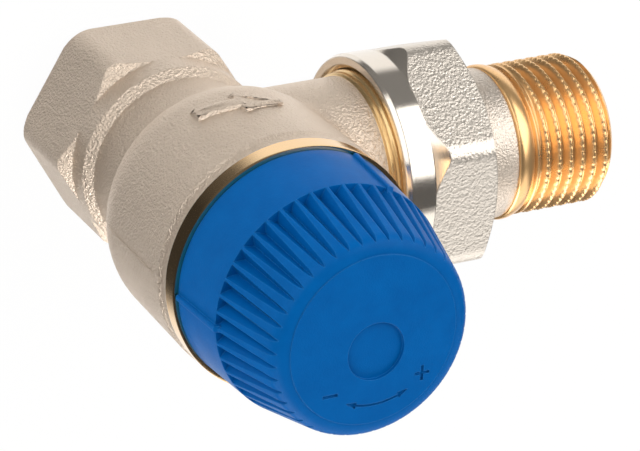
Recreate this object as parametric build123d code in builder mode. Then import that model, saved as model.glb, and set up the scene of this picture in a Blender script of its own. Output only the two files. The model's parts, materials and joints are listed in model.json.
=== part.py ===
"""Angle pattern thermostatic radiator valve with its presetting, flow limiting insert.

The origin is the centre of the inlet's end face. +Z runs up the stem towards the cap,
and +X runs along the outlet towards the radiator. Sizes are in millimetres.
"""
from build123d import *
import os
from math import cos, degrees, radians, sin, sqrt

# Fits and gaps
fit_gap = 0.05
turned_gap = 0.1

# Inlet hexagon with its bevels, ridge and neck
inlet_flats = 27.0
inlet_corner_r = 2.8
inlet_corner_reach = 15.2
inlet_face_r = 14.5
inlet_face_bevel = 0.6
hexagon_bevel_z = 11.9
ridge_r = 13.6
ridge_low = 13.45
ridge_top = 16.7
neck_r = 12.6
neck_low = 18.2
inlet_bore_r = 9.3
inlet_bore_depth = 13.0
passage_r = 7.6

# Bowl of the body
bowl_round = 9.0
bowl_centre_r = 8.0
wall_low_z = 33.8
bowl_blend = 1.0
wall_top_r = 17.35
wall_top_z = 48.3
mouth_step = 0.2
mouth_r = wall_top_r - mouth_step
mouth_bevel = 0.7
mouth_z = 50.8

# Cavity for the insert
foot_bore_r = 9.0
foot_bore_bottom = 16.5
lower_chamber_r = 10.5
lower_chamber_bottom = 20.5
upper_chamber_r = 13.6
upper_chamber_bottom = 31.0
bonnet_bore_r = 14.2
bonnet_bore_bottom = 44.0

# Outlet branch and its spigot
outlet_z = 27.7
branch_r = 12.5
branch_end = 20.5
branch_blend = 1.0
outlet_bore_r = 7.0
spigot_root_r = 12.9
spigot_root_end = 21.4
union_thread_r = 13.18
spigot_end = 31.0
nose_socket_r = 9.0
nose_socket_depth = 3.4
spigot_chamfer = 0.8

# Union nut
nut_front = 21.7
nut_mouth_r = 13.9
nut_rim_r = 14.95
nut_ring_r = 15.3
nut_ring_front = 22.35
nut_ring_end = 25.9
nut_flats = 30.0
nut_corner_r = 2.9
nut_turn = 65.5
nut_back = 35.4
nut_back_wall = 1.8
nut_bore_r = 13.3
nut_back_hole_r = 10.95
nut_front_bevel = 2.6
nut_back_bevel = 1.35
nut_corner_reach = 17.6

# Tailpiece
nose_length = 3.0
nose_bevel = 0.4
tail_groove_low = 28.8
tail_groove_top = 30.3
tail_groove_r = 7.75
tail_collar_r = 13.0
tail_neck_r = 10.4
tail_neck_end = 41.1
bead_r = 10.75
bead_end = 43.7
tail_thread_r = 10.4775
tail_runout_r = 9.9
tail_thread_start = 44.3
tail_end = 56.7
tail_chamfer = 1.2
tail_bore_r = 6.6
tail_key_flats = 14.0
tail_key_depth = 7.0

# Bonnet
flange_inset = 0.05
flange_r = mouth_r - flange_inset
flange_top = 52.6
head_thread_r = 14.95
head_undercut_r = 13.9
head_undercut_top = 53.8
head_thread_top = 60.6
head_chamfer = 0.9
bonnet_bore_in_r = 7.0
bonnet_step_r = 8.3
bonnet_groove_low = 47.9
bonnet_groove_top = 50.1
bonnet_groove_r = 12.3
flange_bevel = 0.25
bonnet_step_z = 46.0

# Cap
cap_rim_z = 52.87
cap_rim_r = 16.62
grip_start_z = 62.5
grip_start_r = 16.12
grip_end_z = 72.4
grip_end_r = 13.85
cap_face_z = 74.2
cap_face_r = 11.6
cap_wall_top = 2.4
cap_thread_r = 15.1
cap_thread_top = 61.6
cap_inner_top_r = 11.8
cap_boss_r = 3.6
flute_count = 45
flute_floor_low_r = 14.65
flute_floor_top_r = 13.15
flute_half_width = 1.0
flute_exit_z = 73.4
flute_reach = 3.3
flute_overshoot = 2.0
flute_turn = 2.3
cap_shelf_r = 13.1
rib_count = 3
rib_turn = 62.0
rib_width = 0.9
rib_height = 0.45
rib_inset = 0.25
recess_r = 3.95
recess_depth = 0.5
recess_x = 0.4
recess_y = -1.65
face_step = 0.12

# Marks cut in the cap's face
mark_depth = 0.3
mark_stroke = 0.4
minus_x = -5.8
minus_y = -6.7
minus_length = 2.1
plus_x = 7.1
plus_y = -6.0
plus_length = 2.1
arrow_x = 0.37
arrow_y = 0.84
arrow_r = 9.9
arrow_from = 246.7
arrow_to = 299.0
arrow_stroke = 0.3
arrow_head_length = 1.5
arrow_head_width = 0.9

# Cage with the seat
cage_foot_z = 16.65
cage_flange_top = 22.4
cage_passage_r = 5.0
cage_groove_low = 17.8
cage_groove_top = 19.6
cage_groove_r = 7.4
seat_r = 4.0
seat_lip_r = 4.9
seat_z = 24.0
cage_r = 10.3
cage_in_r = 8.65
window_count = 6
window_width = 5.6
window_low = 23.2
window_top = 29.6
cage_ring_top = 32.6
cup_r = 13.5
cup_in_r = 12.3
cup_top = 43.2

# Preset group
sleeve_r = 6.9
sleeve_in_r = 5.6
sleeve_low = 22.8
sleeve_top = 32.5
housing_in_r = 5.2
housing_shelf_low = 36.5
housing_shelf_top = 38.0
housing_roof = 57.0
housing_top = 61.8
housing_collar_r = 8.2
housing_collar_low = 44.4
housing_groove_low = 57.4
housing_groove_top = 58.8
housing_groove_r = 5.75
ramp_top = 27.5
ring_lift = 0.2
notch_r = 0.7
gland_bore_r = 2.7
gland_bore_low = 58.5
gland_thread_r = 4.0
gland_thread_low = 60.3
scale_ring_r = 9.0
scale_ring_notches = 16
gland_flats = 7.0
gland_head = 1.0

# Stem group, drawn closed
stem_r = 1.5
stem_foot = 25.1
stem_top = 53.9
pin_r = 1.2
pin_top = 64.4
disc_r = 5.1
disc_top = 27.6
disc_skirt = 25.6
seal_in_r = 2.6
cup_plate_r = 4.9
cup_plate_low = 51.8
cup_plate_top = 53.0
clip_thickness = 0.5
clip_r = 2.8
clip_groove_r = 1.1
cup_hub = 0.8
cup_hub_r = 3.3
screw_r = 0.9
screw_reach = 3.0
screw_head = 0.6
screw_head_r = 3.3

# Regulator
regulator_in_r = 7.1
regulator_r = 8.5
regulator_low = 26.6
plate_low = 39.4
plate_top = 40.6
plate_r = 11.6
clamp_height = 0.9
clamp_r = 9.0
diaphragm_t = 0.6

# Springs and seals
return_wire_r = 0.45
return_coil_r = 4.3
return_turns = 6
regulator_wire_r = 0.5
regulator_coil_r = 10.4
regulator_turns = 4
tail_seal_r = 8.34
tail_seal_section = 0.57
bonnet_seal_r = 13.25
bonnet_seal_section = 0.88
cage_seal_r = 8.17
cage_seal_section = 0.75
housing_seal_r = 6.37
housing_seal_section = 0.58
gland_seal_r = 1.95
gland_seal_section = 0.7


def rounded_hexagon(flats, corner_r):
    """Profile of a hexagon with rounded corners, one corner along the plane's X axis."""
    with BuildSketch() as profile:
        RegularPolygon(radius=flats / sqrt(3), side_count=6)
        fillet(profile.vertices(), corner_r)
    return profile.sketch


def seal_ring(centre_r, section_r, plane):
    """Ring of round section in the given plane."""
    with BuildPart() as ring:
        with BuildSketch(Plane(plane.origin, x_dir=plane.x_dir, z_dir=plane.y_dir)):
            with Locations((centre_r, 0)):
                Circle(section_r)
        revolve(axis=Axis(plane.origin, plane.z_dir))
    return ring.part


def spring_coil(low, high, coil_r, wire_r, turns):
    """Compression spring between two heights, as a round wire on a helix."""
    rise = high - low - 2 * wire_r
    with BuildPart() as coil:
        with BuildLine():
            path = Helix(pitch=rise / turns, height=rise, radius=coil_r, center=(0, 0, low + wire_r))
        with BuildSketch(Plane(path @ 0, x_dir=(1, 0, 0), z_dir=path % 0)):
            Circle(wire_r)
        sweep(path=path)
    return coil.part


def write(piece, name):
    """Labels one piece and writes its file."""
    piece.part.label = name
    export_step(piece.part, f"parts/{name}.step")


os.makedirs("parts", exist_ok=True)
outlet_plane = Plane(origin=(0, 0, outlet_z), x_dir=(0, 1, 0), z_dir=(1, 0, 0))
outlet_side = Plane(origin=(0, 0, outlet_z), x_dir=(1, 0, 0), z_dir=(0, -1, 0))
outlet_axis = Axis((0, 0, outlet_z), (1, 0, 0))


def outlet_at(x):
    """Plane across the outlet at the given distance from the stem's axis."""
    return outlet_plane.offset(x)


def branch_seam(edges):
    """Edges where the body and the branch meet."""
    def on_branch(edge):
        points = [edge @ (step / 4) for step in range(5)]
        gap = max(abs(sqrt(point.Y ** 2 + (point.Z - outlet_z) ** 2) - branch_r) for point in points)
        return gap < 0.01 and max(point.X for point in points) < branch_end - fit_gap
    return edges.filter_by(on_branch)


# Forged body
bowl_low_z = wall_low_z - sqrt(bowl_round ** 2 - (neck_r - bowl_centre_r) ** 2)
bowl_diagonal = bowl_round * sqrt(0.5)
with BuildPart() as inlet_hexagon:
    with BuildSketch(Plane.XY):
        add(rounded_hexagon(inlet_flats, inlet_corner_r))
    extrude(amount=ridge_low)
    with BuildSketch(Plane.XZ):
        with BuildLine():
            Polyline((0, 0), (inlet_face_r, 0), (inlet_corner_reach, inlet_face_bevel),
                     (inlet_corner_reach, hexagon_bevel_z), (ridge_r, ridge_low), (0, ridge_low), (0, 0))
        make_face()
    revolve(axis=Axis.Z, mode=Mode.INTERSECT)

with BuildPart() as valve_body:
    with BuildSketch(Plane.XZ):
        with BuildLine():
            Polyline((0, 0), (neck_r, 0), (neck_r, ridge_low), (ridge_r, ridge_low), (ridge_r, ridge_top),
                     (neck_r, neck_low), (neck_r, bowl_low_z))
            ThreePointArc((neck_r, bowl_low_z),
                          (bowl_centre_r + bowl_diagonal, wall_low_z - bowl_diagonal),
                          (bowl_centre_r + bowl_round, wall_low_z))
            Polyline((bowl_centre_r + bowl_round, wall_low_z), (wall_top_r, wall_top_z),
                     (mouth_r, wall_top_z + mouth_bevel), (mouth_r, mouth_z), (0, mouth_z), (0, 0))
        make_face()
    revolve(axis=Axis.Z)
    bowl_foot = [edge for edge in valve_body.edges() if abs(edge.center().Z - bowl_low_z) < fit_gap]
    fillet(bowl_foot, bowl_blend)
    with BuildSketch(outlet_plane):
        Circle(branch_r)
    extrude(amount=branch_end)
    fillet(branch_seam(valve_body.edges()), branch_blend)
    add(inlet_hexagon.part)
    with BuildSketch(outlet_side):
        with BuildLine():
            Polyline((branch_end, 0), (branch_end, branch_r), (branch_end + 0.2, spigot_root_r),
                     (spigot_root_end, spigot_root_r), (spigot_root_end + 0.3, union_thread_r),
                     (spigot_end - spigot_chamfer, union_thread_r),
                     (spigot_end, union_thread_r - spigot_chamfer), (spigot_end, 0), (branch_end, 0))
        make_face()
    revolve(axis=outlet_axis)
    with BuildSketch(Plane.XZ):
        with BuildLine():
            Polyline((0, 0), (inlet_bore_r, 0), (inlet_bore_r, inlet_bore_depth),
                     (passage_r, inlet_bore_depth),
                     (passage_r, foot_bore_bottom), (foot_bore_r, foot_bore_bottom),
                     (foot_bore_r, lower_chamber_bottom), (lower_chamber_r, lower_chamber_bottom),
                     (lower_chamber_r, upper_chamber_bottom), (upper_chamber_r, upper_chamber_bottom),
                     (upper_chamber_r, bonnet_bore_bottom), (bonnet_bore_r, bonnet_bore_bottom),
                     (bonnet_bore_r, mouth_z), (0, mouth_z), (0, 0))
        make_face()
    revolve(axis=Axis.Z, mode=Mode.SUBTRACT)
    with BuildSketch(outlet_plane):
        Circle(outlet_bore_r)
    extrude(amount=spigot_end, mode=Mode.SUBTRACT)
    with BuildSketch(outlet_at(spigot_end)):
        Circle(nose_socket_r)
    extrude(amount=-nose_socket_depth, mode=Mode.SUBTRACT)
write(valve_body, "valve_body")

# Union nut
with BuildPart() as union_nut:
    with BuildSketch(outlet_at(nut_ring_end)):
        with Locations(Rotation(0, 0, nut_turn)):
            add(rounded_hexagon(nut_flats, nut_corner_r))
    extrude(amount=nut_back - nut_ring_end)
    with BuildSketch(outlet_side):
        with BuildLine():
            Polyline((nut_ring_end, 0), (nut_ring_end, nut_ring_r),
                     (nut_ring_end + nut_front_bevel, nut_corner_reach),
                     (nut_back - nut_back_bevel, nut_corner_reach), (nut_back, nut_flats / 2),
                     (nut_back, 0), (nut_ring_end, 0))
        make_face()
    revolve(axis=outlet_axis, mode=Mode.INTERSECT)
    with BuildSketch(outlet_side):
        with BuildLine():
            Polyline((nut_front, 0), (nut_front, nut_rim_r), (nut_ring_front, nut_ring_r),
                     (nut_ring_end, nut_ring_r), (nut_ring_end, 0), (nut_front, 0))
        make_face()
    revolve(axis=outlet_axis)
    with BuildSketch(outlet_side):
        with BuildLine():
            Polyline((nut_front, 0), (nut_front, nut_mouth_r),
                     (nut_front + nut_mouth_r - nut_bore_r, nut_bore_r),
                     (nut_back - nut_back_wall, nut_bore_r), (nut_back - nut_back_wall, nut_back_hole_r),
                     (nut_back, nut_back_hole_r), (nut_back, 0), (nut_front, 0))
        make_face()
    revolve(axis=outlet_axis, mode=Mode.SUBTRACT)
write(union_nut, "union_nut")

# Tailpiece with its nose, collar, bead and male thread
nose_tip = spigot_end + fit_gap - nose_length
nose_r = nose_socket_r - fit_gap
collar_face = spigot_end + fit_gap
collar_back = nut_back - nut_back_wall - fit_gap
with BuildPart() as tailpiece:
    with BuildSketch(outlet_side):
        with BuildLine():
            Polyline((nose_tip, tail_bore_r), (nose_tip, nose_r - nose_bevel),
                     (nose_tip + nose_bevel, nose_r), (tail_groove_low, nose_r),
                     (tail_groove_low, tail_groove_r), (tail_groove_top, tail_groove_r),
                     (tail_groove_top, nose_r), (collar_face, nose_r), (collar_face, tail_collar_r),
                     (collar_back, tail_collar_r), (collar_back, tail_neck_r), (tail_neck_end, tail_neck_r))
            ThreePointArc((tail_neck_end, tail_neck_r),
                          ((tail_neck_end + bead_end) / 2 - 0.2, bead_r), (bead_end, tail_runout_r))
            Polyline((bead_end, tail_runout_r), (tail_thread_start, tail_runout_r),
                     (tail_thread_start + tail_thread_r - tail_runout_r, tail_thread_r),
                     (tail_end - tail_chamfer, tail_thread_r), (tail_end, tail_thread_r - tail_chamfer),
                     (tail_end, tail_bore_r), (nose_tip, tail_bore_r))
        make_face()
    revolve(axis=outlet_axis)
    with BuildSketch(outlet_at(tail_end)):
        RegularPolygon(radius=tail_key_flats / sqrt(3), side_count=6)
    extrude(amount=-tail_key_depth, mode=Mode.SUBTRACT)
write(tailpiece, "tailpiece")

with BuildPart() as tail_o_ring:
    add(seal_ring(tail_seal_r, tail_seal_section, outlet_at((tail_groove_low + tail_groove_top) / 2)))
write(tail_o_ring, "tail_o_ring")

# Bonnet, with the turned flange under the cap and the head thread
bonnet_r = bonnet_bore_r - fit_gap
with BuildPart() as bonnet:
    with BuildSketch(Plane.XZ):
        with BuildLine():
            Polyline((bonnet_step_r, bonnet_bore_bottom + fit_gap),
                     (bonnet_r, bonnet_bore_bottom + fit_gap),
                     (bonnet_r, bonnet_groove_low), (bonnet_groove_r, bonnet_groove_low),
                     (bonnet_groove_r, bonnet_groove_top), (bonnet_r, bonnet_groove_top),
                     (bonnet_r, mouth_z), (flange_r, mouth_z), (flange_r, flange_top - flange_bevel),
                     (flange_r - flange_bevel, flange_top), (head_undercut_r, flange_top),
                     (head_undercut_r, head_undercut_top - 0.5), (head_thread_r, head_undercut_top),
                     (head_thread_r, head_thread_top - head_chamfer),
                     (head_thread_r - head_chamfer, head_thread_top), (bonnet_bore_in_r, head_thread_top),
                     (bonnet_bore_in_r, bonnet_step_z), (bonnet_step_r, bonnet_step_z),
                     (bonnet_step_r, bonnet_bore_bottom + fit_gap))
        make_face()
    revolve(axis=Axis.Z)
write(bonnet, "bonnet")

with BuildPart() as bonnet_o_ring:
    add(seal_ring(bonnet_seal_r, bonnet_seal_section,
                  Plane.XY.offset((bonnet_groove_low + bonnet_groove_top) / 2)))
write(bonnet_o_ring, "bonnet_o_ring")

# Moulded cap with its ribs and grip
flute_slope = (flute_floor_top_r - flute_floor_low_r) / (flute_exit_z - grip_start_z)
flute_spread = flute_half_width / (grip_start_r - flute_floor_low_r)
with BuildPart() as flute:
    for height in (grip_start_z, cap_face_z + flute_overshoot):
        floor_r = flute_floor_low_r + flute_slope * (height - grip_start_z)
        with BuildSketch(Plane.XY.offset(height)):
            Polygon((floor_r, 0), (floor_r + flute_reach, flute_spread * flute_reach),
                    (floor_r + flute_reach, -flute_spread * flute_reach), align=None)
    loft()

rib_foot = cap_rim_z + rib_inset
rib_head = grip_start_z + rib_inset
with BuildPart() as cap_rib:
    with BuildSketch(Plane.XZ.offset(-rib_width / 2)):
        with BuildLine():
            Polyline((cap_thread_r + rib_height, rib_foot), (cap_rim_r + rib_height, rib_foot),
                     (grip_start_r + rib_height, rib_head),
                     (grip_start_r - rib_height, rib_head + rib_height),
                     (cap_thread_r + rib_height, rib_foot))
        make_face()
    extrude(amount=rib_width)
    fillet(cap_rib.edges().filter_by(lambda edge: edge.length > grip_start_z - cap_rim_z - 1)
           .sort_by(Axis.X)[-2:], rib_width / 3)

arrow_head_turn = degrees(arrow_head_length / arrow_r)


def arrow_point(radius, angle):
    """A point of the cap's face, at a radius and an angle round the arrow's own centre."""
    return (arrow_x + radius * cos(radians(angle)), arrow_y + radius * sin(radians(angle)))


with BuildPart() as protective_cap:
    with BuildSketch(Plane.XZ):
        with BuildLine():
            Polyline((0, cap_rim_z), (cap_rim_r, cap_rim_z), (grip_start_r, grip_start_z),
                     (grip_end_r, grip_end_z))
            Spline((grip_end_r, grip_end_z), (cap_face_r, cap_face_z - face_step),
                   tangents=((grip_end_r - grip_start_r, grip_end_z - grip_start_z), (-1, 0)))
            Polyline((cap_face_r, cap_face_z - face_step), (cap_face_r, cap_face_z), (0, cap_face_z),
                     (0, cap_rim_z))
        make_face()
    revolve(axis=Axis.Z)
    with PolarLocations(0, flute_count, start_angle=flute_turn):
        add(flute.part, mode=Mode.SUBTRACT)
    with PolarLocations(0, rib_count, start_angle=rib_turn):
        add(cap_rib.part)
    with BuildSketch(Plane.XZ):
        with BuildLine():
            Polyline((0, cap_rim_z), (cap_thread_r, cap_rim_z), (cap_thread_r, cap_thread_top),
                     (cap_shelf_r, cap_thread_top), (cap_inner_top_r, cap_face_z - cap_wall_top),
                     (cap_boss_r, cap_face_z - cap_wall_top), (cap_boss_r, pin_top + fit_gap),
                     (0, pin_top + fit_gap), (0, cap_rim_z))
        make_face()
    revolve(axis=Axis.Z, mode=Mode.SUBTRACT)
    with BuildSketch(Plane.XY.offset(cap_face_z)):
        with Locations((recess_x, recess_y)):
            Circle(recess_r)
    extrude(amount=-recess_depth, mode=Mode.SUBTRACT)
    with BuildSketch(Plane.XY.offset(cap_face_z)):
        with Locations((minus_x, minus_y)):
            Rectangle(minus_length, mark_stroke)
        with Locations((plus_x, plus_y)):
            Rectangle(plus_length, mark_stroke)
            Rectangle(mark_stroke, plus_length)
        with BuildLine():
            CenterArc((arrow_x, arrow_y), arrow_r, arrow_from + arrow_head_turn,
                      arrow_to - arrow_from - 2 * arrow_head_turn)
        trace(line_width=arrow_stroke)
        Polygon(arrow_point(arrow_r, arrow_from),
                arrow_point(arrow_r - arrow_head_width / 2, arrow_from + arrow_head_turn),
                arrow_point(arrow_r + arrow_head_width / 2, arrow_from + arrow_head_turn), align=None)
        Polygon(arrow_point(arrow_r, arrow_to),
                arrow_point(arrow_r + arrow_head_width / 2, arrow_to - arrow_head_turn),
                arrow_point(arrow_r - arrow_head_width / 2, arrow_to - arrow_head_turn), align=None)
    extrude(amount=-mark_depth, mode=Mode.SUBTRACT)
write(protective_cap, "protective_cap")

# Cage with the seat, the windows and the regulator's cup
cage_foot_r = foot_bore_r - fit_gap
with BuildPart() as cartridge_body:
    with BuildSketch(Plane.XZ):
        with BuildLine():
            Polyline((cage_passage_r, cage_foot_z), (cage_foot_r, cage_foot_z),
                     (cage_foot_r, cage_groove_low), (cage_groove_r, cage_groove_low),
                     (cage_groove_r, cage_groove_top), (cage_foot_r, cage_groove_top),
                     (cage_foot_r, lower_chamber_bottom + fit_gap),
                     (cage_r, lower_chamber_bottom + fit_gap), (cage_r, upper_chamber_bottom),
                     (cup_r, upper_chamber_bottom), (cup_r, cup_top), (cup_in_r, cup_top),
                     (cup_in_r, cage_ring_top), (cage_in_r, cage_ring_top), (cage_in_r, cage_flange_top),
                     (seat_lip_r, cage_flange_top), (seat_lip_r, seat_z), (seat_r, seat_z),
                     (seat_r, cage_flange_top), (cage_passage_r, cage_flange_top - 1),
                     (cage_passage_r, cage_foot_z))
        make_face()
    revolve(axis=Axis.Z)
    with PolarLocations(0, window_count):
        with Locations((0, 0, (window_low + window_top) / 2)):
            Box(cage_r + 1, window_width, window_top - window_low,
                align=(Align.MIN, Align.CENTER, Align.CENTER), mode=Mode.SUBTRACT)
write(cartridge_body, "cartridge_body")

with BuildPart() as cartridge_o_ring:
    cage_seal_z = (cage_groove_low + cage_groove_top) / 2
    add(seal_ring(cage_seal_r, cage_seal_section, Plane.XY.offset(cage_seal_z)))
write(cartridge_o_ring, "cartridge_o_ring")

# Flow regulator: sleeve, spring, diaphragm and its clamp
with BuildPart() as regulator_sleeve:
    with BuildSketch(Plane.XZ):
        with BuildLine():
            Polyline((regulator_in_r, regulator_low), (regulator_r, regulator_low),
                     (regulator_r, plate_low),
                     (plate_r, plate_low), (plate_r, plate_top), (regulator_in_r, plate_top),
                     (regulator_in_r, regulator_low))
        make_face()
    revolve(axis=Axis.Z)
write(regulator_sleeve, "regulator_sleeve")

with BuildPart() as regulator_spring:
    add(spring_coil(cage_ring_top + fit_gap, plate_low - fit_gap, regulator_coil_r, regulator_wire_r,
                    regulator_turns))
write(regulator_spring, "regulator_spring")

diaphragm_low = plate_top + fit_gap
diaphragm_high = bonnet_bore_bottom
web_low_r = clamp_r + 0.5
web_rise = diaphragm_high - diaphragm_t - diaphragm_low
with BuildPart() as regulator_diaphragm:
    with BuildSketch(Plane.XZ):
        with BuildLine():
            Polyline((regulator_in_r + fit_gap, diaphragm_low), (web_low_r, diaphragm_low),
                     (web_low_r + web_rise, diaphragm_low + web_rise), (cup_r, diaphragm_low + web_rise),
                     (cup_r, diaphragm_high), (web_low_r + web_rise - diaphragm_t / 2, diaphragm_high),
                     (web_low_r - diaphragm_t / 2, diaphragm_low + diaphragm_t),
                     (regulator_in_r + fit_gap, diaphragm_low + diaphragm_t),
                     (regulator_in_r + fit_gap, diaphragm_low))
        make_face()
    revolve(axis=Axis.Z)
write(regulator_diaphragm, "regulator_diaphragm")

with BuildPart() as diaphragm_clamp:
    with BuildSketch(Plane.XY.offset(diaphragm_low + diaphragm_t + fit_gap)):
        Circle(clamp_r)
        Circle(regulator_in_r + fit_gap, mode=Mode.SUBTRACT)
    extrude(amount=clamp_height)
write(diaphragm_clamp, "diaphragm_clamp")

# Presetting group: throttle crown, housing, scale ring, gland
with BuildPart() as throttle_sleeve:
    with BuildSketch(Plane.XY.offset(sleeve_low)):
        Circle(sleeve_r)
        Circle(sleeve_in_r, mode=Mode.SUBTRACT)
    extrude(amount=sleeve_top - sleeve_low)
    split(bisect_by=Plane(origin=(0, 0, (sleeve_low + ramp_top) / 2),
                          z_dir=(sleeve_low - ramp_top, 0, 2 * sleeve_r)), keep=Keep.TOP)
write(throttle_sleeve, "throttle_sleeve")

with BuildPart() as spindle_housing:
    with BuildSketch(Plane.XZ):
        with BuildLine():
            Polyline((housing_in_r, sleeve_top), (sleeve_r, sleeve_top), (sleeve_r, housing_collar_low),
                     (housing_collar_r, housing_collar_low), (housing_collar_r, bonnet_step_z - turned_gap),
                     (sleeve_r, bonnet_step_z - turned_gap), (sleeve_r, housing_groove_low),
                     (housing_groove_r, housing_groove_low), (housing_groove_r, housing_groove_top),
                     (sleeve_r, housing_groove_top), (sleeve_r, housing_top), (gland_thread_r, housing_top),
                     (gland_thread_r, gland_thread_low), (gland_bore_r, gland_thread_low),
                     (gland_bore_r, gland_bore_low), (pin_r + turned_gap, gland_bore_low),
                     (pin_r + turned_gap, housing_roof), (housing_in_r, housing_roof),
                     (housing_in_r, housing_shelf_top), (stem_r + turned_gap, housing_shelf_top),
                     (stem_r + turned_gap, housing_shelf_low), (housing_in_r, housing_shelf_low),
                     (housing_in_r, sleeve_top))
        make_face()
    revolve(axis=Axis.Z)
write(spindle_housing, "spindle_housing")

with BuildPart() as housing_o_ring:
    add(seal_ring(housing_seal_r, housing_seal_section,
                  Plane.XY.offset((housing_groove_low + housing_groove_top) / 2)))
write(housing_o_ring, "housing_o_ring")

with BuildPart() as presetting_ring:
    with BuildSketch(Plane.XY.offset(head_thread_top + ring_lift)):
        Circle(scale_ring_r)
        Circle(sleeve_r + fit_gap, mode=Mode.SUBTRACT)
        with PolarLocations(scale_ring_r, scale_ring_notches):
            Circle(notch_r, mode=Mode.SUBTRACT)
    extrude(amount=housing_top - head_thread_top - ring_lift)
write(presetting_ring, "presetting_ring")

with BuildPart() as gland_nut:
    with BuildSketch(Plane.XY.offset(gland_thread_low + fit_gap)):
        Circle(gland_thread_r - fit_gap)
        Circle(pin_r + fit_gap, mode=Mode.SUBTRACT)
    extrude(amount=housing_top - gland_thread_low - fit_gap)
    with BuildSketch(Plane.XY.offset(housing_top)):
        RegularPolygon(radius=gland_flats / sqrt(3), side_count=6)
        Circle(pin_r + fit_gap, mode=Mode.SUBTRACT)
    extrude(amount=gland_head)
write(gland_nut, "gland_nut")

with BuildPart() as gland_o_ring:
    gland_seal_z = (gland_bore_low + gland_thread_low) / 2
    add(seal_ring(gland_seal_r, gland_seal_section, Plane.XY.offset(gland_seal_z)))
write(gland_o_ring, "gland_o_ring")

# Stem group, drawn with the valve closed
seal_low = seat_z + fit_gap
with BuildPart() as stem:
    with BuildSketch(Plane.XY.offset(stem_foot)):
        Circle(stem_r)
    extrude(amount=stem_top - stem_foot)
    with BuildSketch(Plane.XY.offset(cup_plate_top)):
        Circle(stem_r)
        Circle(clip_groove_r, mode=Mode.SUBTRACT)
    extrude(amount=clip_thickness + 2 * fit_gap, mode=Mode.SUBTRACT)
    with BuildSketch(Plane.XY.offset(stem_foot)):
        Circle(screw_r + fit_gap)
    extrude(amount=screw_reach + fit_gap, mode=Mode.SUBTRACT)
write(stem, "stem")

with BuildPart() as valve_disc:
    with BuildSketch(Plane.XZ):
        with BuildLine():
            Polyline((screw_r + fit_gap, seal_low), (seal_in_r - fit_gap, seal_low),
                     (seal_in_r - fit_gap, disc_skirt), (disc_r, disc_skirt), (disc_r, disc_top - 0.6),
                     (disc_r - 1.4, disc_top), (stem_r + fit_gap, disc_top),
                     (stem_r + fit_gap, stem_foot - fit_gap), (screw_r + fit_gap, stem_foot - fit_gap),
                     (screw_r + fit_gap, seal_low))
        make_face()
    revolve(axis=Axis.Z)
write(valve_disc, "valve_disc")

with BuildPart() as disc_seal:
    with BuildSketch(Plane.XY.offset(seal_low)):
        Circle(disc_r)
        Circle(seal_in_r, mode=Mode.SUBTRACT)
    extrude(amount=disc_skirt - fit_gap - seal_low)
write(disc_seal, "disc_seal")

with BuildPart() as disc_screw:
    with BuildSketch(Plane.XY.offset(seal_low - fit_gap)):
        Circle(screw_head_r)
    extrude(amount=-screw_head)
    with BuildSketch(Plane.XY.offset(seal_low - fit_gap)):
        Circle(screw_r)
    extrude(amount=stem_foot + screw_reach - seal_low)
write(disc_screw, "disc_screw")

with BuildPart() as spring_cup:
    with BuildSketch(Plane.XZ):
        with BuildLine():
            Polyline((stem_r + fit_gap, cup_plate_low - cup_hub), (cup_hub_r, cup_plate_low - cup_hub),
                     (cup_hub_r, cup_plate_low), (cup_plate_r, cup_plate_low),
                     (cup_plate_r, cup_plate_top - fit_gap), (stem_r + fit_gap, cup_plate_top - fit_gap),
                     (stem_r + fit_gap, cup_plate_low - cup_hub))
        make_face()
    revolve(axis=Axis.Z)
write(spring_cup, "spring_cup")

with BuildPart() as stem_clip:
    with BuildSketch(Plane.XY.offset(cup_plate_top + fit_gap)):
        Circle(clip_r)
        Circle(clip_groove_r + fit_gap, mode=Mode.SUBTRACT)
        with Locations((clip_r / 2, 0)):
            Rectangle(clip_r, 2 * clip_groove_r - 4 * fit_gap, mode=Mode.SUBTRACT)
    extrude(amount=clip_thickness)
write(stem_clip, "stem_clip")

with BuildPart() as pressure_pin:
    with BuildSketch(Plane.XY.offset(stem_top + fit_gap)):
        Circle(pin_r)
    extrude(amount=pin_top - stem_top - fit_gap)
    chamfer(pressure_pin.faces().sort_by(Axis.Z)[-1].edges(), pin_r / 4)
write(pressure_pin, "pressure_pin")

with BuildPart() as return_spring:
    add(spring_coil(housing_shelf_top + fit_gap, cup_plate_low - fit_gap, return_coil_r, return_wire_r,
                    return_turns))
write(return_spring, "return_spring")
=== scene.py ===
# %% [markdown]
# # An angle radiator valve
#
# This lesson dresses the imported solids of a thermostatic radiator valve: a nickel-plated
# forging, a blue moulded cap, a union nut and a tailpiece with a male thread. The solids
# come first, because every dressed piece sits where a solid says. Numbers are written in
# millimetres, as on a drawing, and become metres only when a mesh is made.

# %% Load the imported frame
import json

import bpy
import numpy as np
from mathutils import Matrix, Vector


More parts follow.
